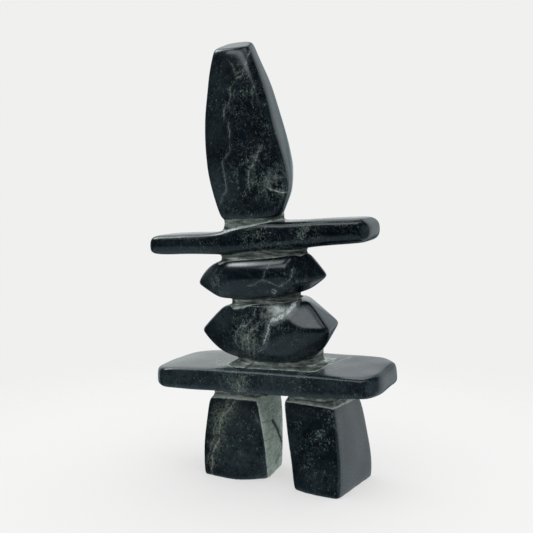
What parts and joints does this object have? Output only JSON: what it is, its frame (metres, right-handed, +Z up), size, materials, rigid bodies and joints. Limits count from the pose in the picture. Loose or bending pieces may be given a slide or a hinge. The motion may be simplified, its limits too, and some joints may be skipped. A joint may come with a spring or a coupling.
{
  "type": "stone cairn figure",
  "caption": "Standing figure of stacked stones, carved and polished from one block of dark green serpentine, with spread arms, faceted body stones, a hip slab and legs.",
  "frame": {"origin": "on the floor, under the middle of the figure's bounding box", "axes": "+Z up, +X towards the figure's own left hand, -Y out of its front face"},
  "size_m": [0.1798, 0.0603, 0.3],
  "materials": {
    "serpentine": "hand-polished dark green-black stone with pale veins and specks, rough and grey-green where it is undercut"
  },
  "bodies": {
    "root": {"carved_stone_figure": "serpentine"}
  },
  "joints": []
}
